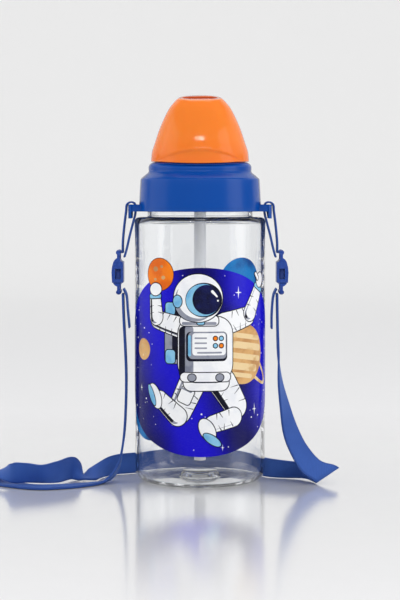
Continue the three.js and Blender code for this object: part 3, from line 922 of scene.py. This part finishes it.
# ---- The spout and what holds it ----------------------------------------------------------------
# A soft silicone mouthpiece with a slit tip, clamped on the hub by a blue ring nut. Below the hub an
# adapter holds the straw, and an umbrella valve in the deck lets air in.
SPOUT_TOP = 196.7
spout = turned(
    "soft_spout",
    [
        (6.2, HUB_TOP + 0.3),
        (HUB_R - 0.2, HUB_TOP + 0.3),
        *arc(HUB_R - 0.5, HUB_TOP + 1.0, 0.5, -60, 60, 4),
        (9.2, HUB_TOP + 1.5),
        (8.45, HUB_TOP + 1.9),
        (8.3, 177.5),
        (7.7, 180.5),
        (7.1, 184),
        (6.7, 188),
        (6.75, 191),
        (6.6, 193),
        *arc(3.2, SPOUT_TOP - 3.1, 3.1, 12, 80, 8),
        (1.5, SPOUT_TOP),
        (1.1, SPOUT_TOP - 0.3),
        (1.1, 194.4),
        (3.2, 193),
        (4.8, 191.3),
        (5.2, 186),
        (6.0, 179),
        (6.2, HUB_TOP + 0.3),
    ],
    sides=96,
    crease=50,
)
collar_low, collar_high = (corner.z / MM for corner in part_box("spout_collar"))
collar = turned(
    "spout_ring_nut",
    [
        (HUB_R + 0.4, collar_low),
        (HUB_R + 2.4, collar_low),
        *arc(HUB_R + 2.0, collar_high - 0.6, 0.6, 0, 90, 5),
        (9.1, collar_high),
        *arc(9.1, collar_high - 0.4, 0.4, 90, 180, 4),
        (8.7, HUB_TOP + 1.8),
        (HUB_R + 0.4, HUB_TOP + 1.8),
        (HUB_R + 0.4, collar_low),
    ],
    sides=96,
)
# Grip flutes round the ring nut.
FLUTES = 24
FLUTE_DEPTH = 0.35
for vertex in collar.data.vertices:
    at = vertex.co / MM
    reach = math.hypot(at.x, at.y)
    if reach > HUB_R + 2 and at.z < collar_high - 0.3:
        wave = 0.5 + 0.5 * math.cos(FLUTES * math.atan2(at.y, at.x))
        draw_in(vertex, reach, FLUTE_DEPTH * wave)
adapter = turned(
    "straw_holder",
    [
        (1.95, 150),
        (2.3, 150.1),
        (2.35, 158),
        (6, 158.3),
        (7.6, 160.4),
        (7.7, 161),
        (7.7, HUB_TOP - 0.5),
        (7.5, HUB_TOP - 0.3),
        (2.1, HUB_TOP - 0.3),
        (1.95, HUB_TOP - 0.6),
        (1.95, 150),
    ],
    sides=64,
)
STRAW_R = 3.2
STRAW_BORE_R = 2.55
STRAW_Z = 11
STRAW_TOP = 157.6
tube = turned(
    "drinking_straw",
    [
        (STRAW_BORE_R, STRAW_Z + 0.2),
        *arc((STRAW_BORE_R + STRAW_R) / 2, STRAW_Z + 0.3, 0.3, 200, 340, 5),
        (STRAW_R, STRAW_TOP),
        (STRAW_BORE_R, STRAW_TOP),
        (STRAW_BORE_R, STRAW_Z + 0.2),
    ],
    sides=64,
)
valve_low, valve_high = (corner.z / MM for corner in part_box("air_valve"))
valve = turned(
    "umbrella_valve",
    [
        (0, valve_low),
        (1.4, valve_low + 0.2),
        (3.2, valve_low + 1.0),
        (4.3, valve_low + 1.9),
        (4.35, valve_low + 2.0),
        (1.25, valve_low + 2.0),
        (1.2, valve_high - 1.4),
        (2.2, valve_high - 1.4),
        (2.2, valve_high - 1.1),
        (1.5, valve_high - 0.2),
        (0, valve_high),
    ],
    sides=32,
)
valve.location.y = VALVE_Y * MM
settle(valve)

straw_grey = Finish("straw_polyethylene")
milk = straw_grey.noise(120, 2)
straw_grey.surface(
    Base_Color=straw_grey.mix(milk, paint(232, 233, 235), paint(240, 241, 242)),
    Roughness=0.3 + milk * 0.1,
    Specular_IOR_Level=0.5,
)
holder_white = Finish("holder_plastic")
speck = holder_white.noise(500, 2)
holder_white.surface(
    Base_Color=holder_white.mix(speck, paint(222, 224, 224), paint(234, 235, 235)),
    Roughness=0.34 + speck * 0.08,
)
for piece, finish, node, slot in (
    (spout, silicone, "spout", "spout_silicone"),
    (collar, polypropylene, "spout_collar", "blue_lid"),
    (adapter, holder_white, "straw_adapter", "spout_silicone"),
    (tube, straw_grey, "straw", "straw_grey"),
    (valve, silicone, "air_valve", "seal"),
):
    finish.on(piece)
    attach(piece, "lid")
    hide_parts(node)

# ---- The dome -----------------------------------------------------------------------------------
# A snap-on cap in glossy orange polypropylene, thin enough to glow a little. Its top is cut on a slant
# with a finger recess, and low in front it is dished under a faint arch, for the thumb that lifts it.
DOME_Z = 171.2
DOME_TOP = 206.4
DOME_WALL = 1.9
POCKET_WIDTH = 18.4
POCKET_DEPTH = 10
POCKET_Y = -1
POCKET_FLOOR = 201.6
TOP_SLOPE = 0.19
DOME_ROUNDING = 0.55
DOME_SIDE = [
    (26.3, DOME_Z),
    (25.7, 176.6),
    (24.1, 181.6),
    (22, 187.9),
    (19.3, 194.3),
    (16.4, 199.8),
    (13.1, 203.8),
    (10.4, 206.0),
]
side_points = [Vector((r, z, 0)) for r, z in DOME_SIDE]
steps = 12
outside = [
    along(side_points, index / steps, False) for index in range((len(DOME_SIDE) - 1) * steps + 1)
]
outside = [(point.x, point.y) for point in outside]
snap_r = BOSS_R + 0.3
inside = [(r - DOME_WALL, z - 0.3) for r, z in outside if BOSS_TOP + 3 < z < POCKET_FLOOR - 3]
dome = turned(
    "dome",
    [
        (0, POCKET_FLOOR - DOME_WALL),
        (9, POCKET_FLOOR - DOME_WALL),
        (12, POCKET_FLOOR - DOME_WALL - 0.6),
        *reversed(inside),
        (snap_r, BOSS_TOP + 0.6),
        (snap_r, DOME_Z + 0.3),
        (snap_r + 0.3, DOME_Z),
        (25.9, DOME_Z),
        (26.25, DOME_Z + 0.3),
        *outside[1:],
        (9.2, DOME_TOP + 1),
        (0, DOME_TOP + 1),
    ],
    sides=192,
)
ARCH_MIDDLE = 6.5  # height of the arch over the dome's lower edge
ARCH_HALF_ANGLE = math.radians(68)
DISH_DEPTH = 0.85
DISH_RISE, DISH_FALL = 0.78, 0.22  # shares of the arch's height below and above the deepest line
EDGE_BLEND = 5
for vertex in dome.data.vertices:
    at = vertex.co / MM
    rise = at.z - DOME_Z
    if rise < EDGE_BLEND:
        vertex.co.z -= DIP * front_dip(at) * (1 - max(0, rise) / EDGE_BLEND) * MM
    reach = math.hypot(at.x, at.y)
    arch = ARCH_MIDDLE * front_dip(at, ARCH_HALF_ANGLE) ** 0.6
    if reach > BOSS_R + 0.8 and 0 < rise < arch:
        share = rise / arch
        hollow = min(share**1.25 / DISH_RISE, (1 - share) / DISH_FALL)
        draw_in(vertex, reach, DISH_DEPTH * hollow * front_dip(at, ARCH_HALF_ANGLE) ** 0.4)

choose(dome)
bpy.ops.object.mode_set(mode="EDIT")
bpy.ops.mesh.select_all(action="SELECT")
bpy.ops.mesh.bisect(
    plane_co=(0, 0, (DOME_TOP - 0.9) * MM),
    plane_no=(0, -TOP_SLOPE, 1),
    clear_outer=True,
    use_fill=True,
)
bpy.ops.object.mode_set(mode="OBJECT")
deselect()
place = (0, POCKET_Y * MM, (POCKET_FLOOR + 10) * MM)
bpy.ops.mesh.primitive_cube_add(size=1, location=place)
recess = start_piece("recess")
bpy.ops.transform.resize(value=(POCKET_WIDTH * MM, POCKET_DEPTH * MM, 20 * MM))
bpy.ops.mesh.select_mode(type="EDGE")
bpy.ops.object.mode_set(mode="OBJECT")
for edge in recess.data.edges:
    ends = [recess.data.vertices[v].co for v in edge.vertices]
    edge.select = abs(ends[0].z - ends[1].z) > MM
bpy.ops.object.mode_set(mode="EDIT")
bpy.ops.mesh.bevel(offset=(POCKET_DEPTH / 2 - 0.3) * MM, segments=12)
bpy.ops.mesh.select_mode(type="VERT")
bpy.ops.object.mode_set(mode="OBJECT")
cut_out(dome, "recess", recess)
round_edges(dome, "rim", DOME_ROUNDING * MM, 4, 32)
settle(dome, 45)

# The colour is deeper low down. Painted shade darkens it where the wall is seen edge on, and in the
# recess.
LOW_BAND = (0.170, 0.186)  # heights in metres between which the deeper colour fades out
RECESS_RADII = (5.1, 5.4)  # round each end of the recess, the painted shade fades between these

orange = Finish("dome_polypropylene")
tone = orange.noise(30, 2)
across, in_depth, height = orange.place()
painted_edge_shade = orange.add("LayerWeight", {"Blend": 0.5}, outlet="Facing").step(0.8, 0.97)
low_band = height.step(*LOW_BAND)
shell_colour = orange.mix(low_band, paint(255, 116, 40), paint(255, 130, 50))
shell_colour = orange.mix(tone * 0.5, shell_colour, paint(255, 138, 56))
# Painted shade where the wall is seen edge on.
edge_shaded_colour = orange.mix(painted_edge_shade, shell_colour, paint(120, 40, 12))
end_x = (POCKET_WIDTH - POCKET_DEPTH) / 2 * MM
# The recess is a bar with round ends, and these say how far a point lies from its middle line.
over_end = across.size() - end_x
past_x = over_end * over_end.step(0, 0.1 * MM)
off_y = in_depth - POCKET_Y * MM
# Painted shade inside the recess.
recess_painted_shade = 1 - (past_x * past_x + off_y * off_y).step(*((radius * MM) ** 2 for radius in RECESS_RADII))
orange.surface(
    Base_Color=orange.mix(recess_painted_shade * 0.8, edge_shaded_colour, paint(176, 62, 20)),
    Roughness=0.04 + orange.noise(900, 2) * 0.03,
    Normal=orange.bump(orange.noise(1100, 3), 0.01 * MM, 0.4),
    Subsurface_Weight=0.35,
    Subsurface_Radius=(0.01, 0.004, 0.0012),
    Subsurface_Scale=0.6,
    Specular_IOR_Level=0.2,
)
orange.on(dome)
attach(dome, "cap")
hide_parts("cap_dome")

# ---- The print ----------------------------------------------------------------------------------
# A picture of space screen-printed round the bottle's wall: an oval of night sky, planets and stars,
# and an astronaut in plain rounded shapes. Each ink is a thin film, laid over the ones before it.
FILM = 0.004  # height of one layer of ink
FACET = 0.75  # width of the strips that let the flat shapes bend round the wall
OUTLINE = 0.5  # how far the dark line shows round a shape

INKS = {
    "backing": (paint(238, 240, 243), paint(232, 234, 239)),
    "sky": (paint(22, 8, 205), paint(4, 2, 84)),
    "teal": (paint(22, 120, 190), paint(14, 70, 140)),
    "line": (paint(8, 10, 30), paint(14, 17, 42)),
    "white": (paint(250, 251, 253), paint(240, 242, 247)),
    "grey": (paint(150, 154, 168), paint(122, 127, 146)),
    "ice": (paint(140, 200, 232), paint(110, 178, 222)),
    "visor": (paint(8, 10, 34), paint(22, 30, 92)),
    "orange": (paint(250, 132, 24), paint(226, 100, 14)),
    "sand": (paint(226, 178, 116), paint(188, 134, 82)),
    "cream": (paint(240, 212, 162), paint(214, 172, 116)),
}
films = {ink: [] for ink in INKS}
layer = 0  # the last film's place, counted from the wall


def film(ink, outline, over=1):
    """One flat shape of an ink, from its outline of (distance round the wall, height) points."""
    global layer
    layer += over
    deselect()
    bpy.ops.mesh.primitive_circle_add(vertices=len(outline), radius=1, fill_type="NGON")
    shape = bpy.context.object
    for vertex, (across, up) in zip(shape.data.vertices, outline):
        vertex.co = (across * MM, -(BODY_R + 0.02 + layer * FILM) * MM, up * MM)
    films[ink].append(shape)


def leaning(across, up, tilt, points):
    """An outline drawn round (0, 0), turned by a tilt in degrees and set in its place."""
    c, s = math.cos(math.radians(tilt)), math.sin(math.radians(tilt))
    return [(across + x * c - z * s, up + x * s + z * c) for x, z in points]


def oval(across, up, width, height, tilt=0, count=48):
    """Half its width and half its height are given."""
    turns = [2 * math.pi * index / count for index in range(count)]
    return leaning(across, up, tilt, [(width * math.cos(a), height * math.sin(a)) for a in turns])


def limb(start, start_r, stop, stop_r, count=14):
    """A tapered bar with round ends."""
    run, rise = stop[0] - start[0], stop[1] - start[1]
    heading = math.atan2(rise, run)
    points = []
    for centre, radius, first in ((stop, stop_r, -math.pi / 2), (start, start_r, math.pi / 2)):
        for index in range(count + 1):
            turn = heading + first + math.pi * index / count
            points.append((centre[0] + radius * math.cos(turn), centre[1] + radius * math.sin(turn)))
    return points


def slab(across, up, width, height, corner, tilt=0):
    """A leaning rectangle with round corners."""
    points = []
    for quarter, (sx, sz) in enumerate(((1, 1), (-1, 1), (-1, -1), (1, -1))):
        for index in range(7):
            turn = math.pi / 2 * (quarter + index / 6)
            x = sx * (width / 2 - corner) + corner * math.cos(turn)
            z = sz * (height / 2 - corner) + corner * math.sin(turn)
            points.append((x, z))
    return leaning(across, up, tilt, points)


STAR_WAIST = 0.16  # how far out a star's hollow corners are, as a share of its smaller size


def star(across, up, height, width):
    """A four-pointed glint with hollow sides."""
    points = []
    for index in range(8):
        turn = math.pi / 4 * index
        if index % 2:
            x = z = STAR_WAIST * min(height, width)
            x, z = math.copysign(x, math.cos(turn)), math.copysign(z, math.sin(turn))
        else:
            x, z = width * round(math.cos(turn)), height * round(math.sin(turn))
        points.append((across + x, up + z))
    return points


# The shading of a limb: the ink, how far it is moved left and down, and its width, as shares of the
# limb's own.
SHADES = (("grey", 0.3, 0.2, 0.61), ("line", 0.62, 0.4, 0.24), ("white", -0.1, -0.06, 0.72))


def drawn_limb(start, start_r, stop, stop_r):
    """A white limb with a dark line round it, and a shade down its lower left side."""
    film("line", limb(start, start_r + OUTLINE, stop, stop_r + OUTLINE))
    film("white", limb(start, start_r, stop, stop_r))
    ends = ((start, start_r), (stop, stop_r))
    for shade, left, down, share in SHADES:
        (first, first_r), (last, last_r) = (
            ((x - left * r, z - down * r), share * r) for (x, z), r in ends
        )
        film(shade, limb(first, first_r, last, last_r))


FOLD_ENDS = (0.95, 0.35)  # where a fold starts and stops, as shares of the way out to the limb's edge
FOLD_PIVOT = 0.3  # the share that stays in place when a fold leans
FOLD_RADII = (0.26, 0.08)  # half the stroke's width at its two ends


def creases(start, stop, width, places):
    """Short folds of cloth, as thin dark strokes in from both edges of a limb, all in one layer."""
    global layer
    layer += 1
    run, rise = stop[0] - start[0], stop[1] - start[1]
    length = math.hypot(run, rise)
    side = (-rise / length, run / length)
    for place in places:
        centre = (start[0] + run * place, start[1] + rise * place)
        lean = 0.35 if round(place * 10) % 2 else -0.25
        for sign in (-1, 1):
            ends = []
            for share in FOLD_ENDS:
                slip = share - FOLD_PIVOT
                x = centre[0] + sign * side[0] * width * share + run / length * lean * width * slip
                z = centre[1] + sign * side[1] * width * share + rise / length * lean * width * slip
                ends.append((x, z))
            film("line", limb(ends[0], FOLD_RADII[0], ends[1], FOLD_RADII[1], 5), 0)


def sleeve(start, start_r, stop, stop_r, width, places):
    """A limb with folds at some places along it, counted from 0 to 1."""
    drawn_limb(start, start_r, stop, stop_r)
    creases(start, stop, width, places)


def drawn_oval(ink, across, up, width, height, tilt=0):
    film("line", oval(across, up, width + OUTLINE, height + OUTLINE, tilt))
    film(ink, oval(across, up, width, height, tilt))


def drawn_slab(ink, across, up, width, height, corner, tilt=0):
    grown = (width + 2 * OUTLINE, height + 2 * OUTLINE, corner + OUTLINE)
    film("line", slab(across, up, *grown, tilt))
    film(ink, slab(across, up, width, height, corner, tilt))


# The sky, with a teal world behind it at either side, all on a white backing.
SKY = (1, 66.6, 57, 49.3)
TEAL_WORLDS = ((23.5, 107.5, 13.5), (-30.5, 41.5, 17))
BALL = (-22.6, 112.2, 8.4)
film("backing", oval(*SKY[:2], SKY[2] - 0.3, SKY[3] - 0.3, count=120))
for across, up, radius in (*TEAL_WORLDS, BALL):
    film("backing", oval(across, up, radius - 0.3, radius - 0.3))
for across, up, radius in TEAL_WORLDS:
    film("teal", oval(across, up, radius, radius, count=72))
film("sky", oval(*SKY, count=120))

# Distant stars, scattered over the sky, and a few bright ones with rays.
STARS = 70
scatter = random.Random(11)
layer += 1
for _ in range(STARS):
    turn, reach = scatter.uniform(0, 2 * math.pi), scatter.uniform(0.25, 0.93) ** 0.5
    across, up = SKY[0] + SKY[2] * reach * math.cos(turn), SKY[1] + SKY[3] * reach * math.sin(turn)
    size = scatter.choice((0.2, 0.25, 0.3, 0.45))
    film("white", oval(across, up, size, size, count=10), 0)
for across, up, height in (
    (21.3, 102.8, 3.4),
    (33.4, 41, 3.2),
    (-37.6, 52, 2.2),
    (-48, 84, 2.6),
    (47, 78, 2.4),
    (12, 22, 1.8),
):
    film("white", star(across, up, height, height * 0.62), 0)

# A banded sand-coloured planet with a ring on the right, and a small one on the left.
PLANET = (24.5, 70.5, 15.8)
px, pz, pr = PLANET
film("cream", oval(px, pz, 27, 6.2, -38, 80))
film("sky", oval(px, pz, 24.6, 4.2, -38, 80))
film("sand", oval(px, pz, pr, pr, count=80))
for offset, half in ((9.2, 1.3), (4.4, 1.8), (-1.2, 1.5), (-6.4, 1.9), (-10.8, 1.2)):
    span = math.sqrt(pr**2 - (abs(offset) + half) ** 2) - 0.3
    film("cream", slab(px + 0.25 * offset, pz + offset, 2 * span * 0.96, 2 * half, half * 0.9, -8))
film("sand", oval(-35.2, 72.5, 5.7, 5.7))
for x, z, size in ((-36.6, 74.2, 1.4), (-33.4, 70.6, 1.0), (-35.6, 69.4, 0.7)):
    film("cream", oval(x, z, size, size * 0.8, count=20))

# A plain orange moon above the left hand.
film("line", oval(*BALL[:2], BALL[2] + 0.35, BALL[2] + 0.35))
film("orange", oval(*BALL[:2], BALL[2], BALL[2]))
for x, z, size in (
    (-25.2, 115, 1.6),
    (-20.2, 110.6, 1.2),
    (-21.2, 116.4, 0.9),
    (-25.4, 109.6, 0.9),
):
    film("sand", oval(x, z, size, size * 0.85, count=24))

# The astronaut, from the back forward: pack, limbs, body, chest unit and helmet. The legs and arms
# don't cross each other, so each starts from the same layer.
drawn_slab("grey", -14.6, 81, 9, 30, 2.6)
film("line", slab(-12.6, 81, 4.6, 26, 2))
drawn_slab("ice", -16, 94.5, 5.4, 6.4, 1.6)
drawn_slab("ice", -16, 69.5, 5.4, 7, 1.6)
under_limbs = layer

sleeve((-4, 56), 6.8, (-11, 41), 6.3, 6.4, (0.3, 0.6, 0.8))
drawn_slab("white", -7.4, 49.4, 7, 8.4, 1.4, -24)
film("grey", slab(-7.2, 52.4, 6.4, 1, 0.4, -24))
sleeve((-12, 38.5), 5.1, (-22, 47), 4.3, 4.6, (0.3, 0.6, 0.9))
drawn_oval("white", -25.6, 48.4, 3.6, 6.8, 24)
drawn_oval("ice", -28, 48.8, 1.6, 5.8, 24)
highest = layer

layer = under_limbs
sleeve((12, 56), 7.4, (20, 43.5), 6.6, 6.8, (0.3, 0.6, 0.9))
sleeve((18.2, 37.8), 5, (7, 34.6), 4.4, 4.6, (0.2, 0.5, 0.8))
drawn_oval("white", 3.8, 31.4, 3.8, 6.4, 28)
drawn_oval("ice", 6.4, 26.2, 5.4, 2.1, -34)
highest = max(highest, layer)

layer = under_limbs
drawn_limb((-8.6, 84.5), 5.4, (-24, 88.6), 4.6)
creases((-9.6, 84.5), (-24, 88.6), 5, (0.35, 0.6, 0.85))
sleeve((-24.8, 90), 4.3, (-25.6, 100), 3.6, 4, (0.25, 0.6))
drawn_slab("ice", -25.5, 100.8, 7.8, 2.2, 0.9, 4)
drawn_oval("white", -25.2, 104.4, 3.9, 3.2, 8)
highest = max(highest, layer)

layer = under_limbs
sleeve((13, 86.6), 5.8, (28, 90.4), 4.9, 5.3, (0.3, 0.6, 0.85))
sleeve((29.4, 92), 4.5, (36.4, 104.4), 3.6, 4.1, (0.25, 0.6))
drawn_slab("ice", 36.8, 105, 7.8, 2.2, 0.9, -28)
drawn_oval("white", 38.4, 109, 3.2, 3.9, -22)
drawn_limb((36, 110), 1.1, (34.4, 112), 1)
layer = max(highest, layer)

drawn_slab("white", 3.4, 56.5, 24, 9, 4)
drawn_slab("white", 3, 73.5, 29, 34, 9)
film("line", slab(-8.4, 72, 5.4, 27, 2.6))
film("grey", slab(-5.6, 72, 4.4, 28, 2))
drawn_slab("white", 3, 59, 26.4, 4.6, 2.2)
for x in (-4.2, 10.4):
    drawn_oval("grey", x, 58.8, 2, 1.8)
film("line", slab(3.6, 75, 21.6, 15.4, 2.4))
film("grey", slab(4, 75.6, 20, 14, 2))
film("white", slab(4.8, 76.2, 17.6, 11.6, 1.6))
film("ice", slab(-5.4, 75.4, 1.5, 11, 0.7))
for row in range(3):
    film("grey", slab(0.4, 79.4 - 2.6 * row, 6.4, 0.8, 0.35), 0)
film("grey", slab(5, 71.8, 13, 0.9, 0.4), 0)
for x, z, ink in (
    (8, 79.2, "orange"),
    (11.2, 79.2, "ice"),
    (8, 75.4, "ice"),
    (11.2, 75.4, "orange"),
):
    drawn_oval(ink, x, z, 0.95, 0.95)

drawn_slab("white", -0.4, 88.4, 20, 5, 2.1)
film("grey", slab(-0.4, 87, 18, 1.6, 0.7))
drawn_slab("ice", 0.4, 88, 3.6, 3, 0.8)
drawn_oval("white", -1, 100.2, 12.8, 12.4)
film("line", oval(-3.4, 97.8, 10.2, 9.9))
film("grey", oval(-2.6, 98.6, 10.8, 10.6))
film("white", oval(-0.6, 100.8, 11.4, 11.2))
drawn_oval("ice", -11.8, 98.4, 2.3, 3.1)
film("line", oval(2, 99.2, 9.6, 9))
film("ice", oval(1.6, 99.2, 8.9, 8.4))
film("visor", oval(3.4, 99.4, 7.3, 7.7))
film("white", limb((6.4, 103.6), 0.75, (8.8, 101), 0.45, 8))
film("white", oval(9.3, 98.8, 0.5, 0.5, count=16), 0)


def printed(ink, shapes):
    """Joins the films of one ink, cuts them into narrow strips and bends them round the wall."""
    choose(*shapes)
    if len(shapes) > 1:
        bpy.ops.object.join()
    piece = start_piece(f"print_{ink}")
    reach = max(abs(vertex.co.x) for vertex in piece.data.vertices) / MM
    for index in range(-int(reach / FACET), int(reach / FACET) + 1):
        bpy.ops.mesh.select_all(action="SELECT")
        bpy.ops.mesh.bisect(plane_co=(index * FACET * MM, 0, 0), plane_no=(1, 0, 0))
    bpy.ops.object.mode_set(mode="OBJECT")
    for vertex in piece.data.vertices:
        angle, radius = vertex.co.x / (BODY_R * MM), -vertex.co.y
        vertex.co.x, vertex.co.y = radius * math.sin(angle), -radius * math.cos(angle)
    choose(piece)
    bpy.ops.object.mode_set(mode="EDIT")
    bpy.ops.mesh.select_all(action="SELECT")
    bpy.ops.mesh.quads_convert_to_tris()
    bpy.ops.object.mode_set(mode="OBJECT")
    bpy.ops.object.shade_smooth()
    return piece


for ink, shapes in films.items():
    piece = printed(ink, shapes)
    finish = Finish(f"ink_{ink}")
    first, second = INKS[ink]
    dots = finish.noise(2600, 2).step(0.35, 0.65)
    if ink == "sky":
        # Broad slanting waves of painted sheen, light and dark, blurred by clouds.
        across, _, up = finish.place()
        painted_sheen_waves = (across * 120 + up * 34 - 2.2).sine() * 0.5 + 0.5
        cloud = finish.noise(38, 5).step(0.3, 0.75)
        mixing = painted_sheen_waves * 0.9 + cloud * 0.25 - 0.12
    elif ink in ("teal", "orange", "sand", "visor"):
        mixing = finish.noise(70, 4).step(0.35, 0.7)
    else:
        mixing = finish.noise(150, 3).step(0.4, 0.7)
    finish.surface(
        Base_Color=finish.mix(mixing.step(0, 1), first, second),
        Roughness=0.22 + dots * 0.06,
        Specular_IOR_Level=0.18,
    )
    finish.on(piece)
    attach(piece, "bottle")
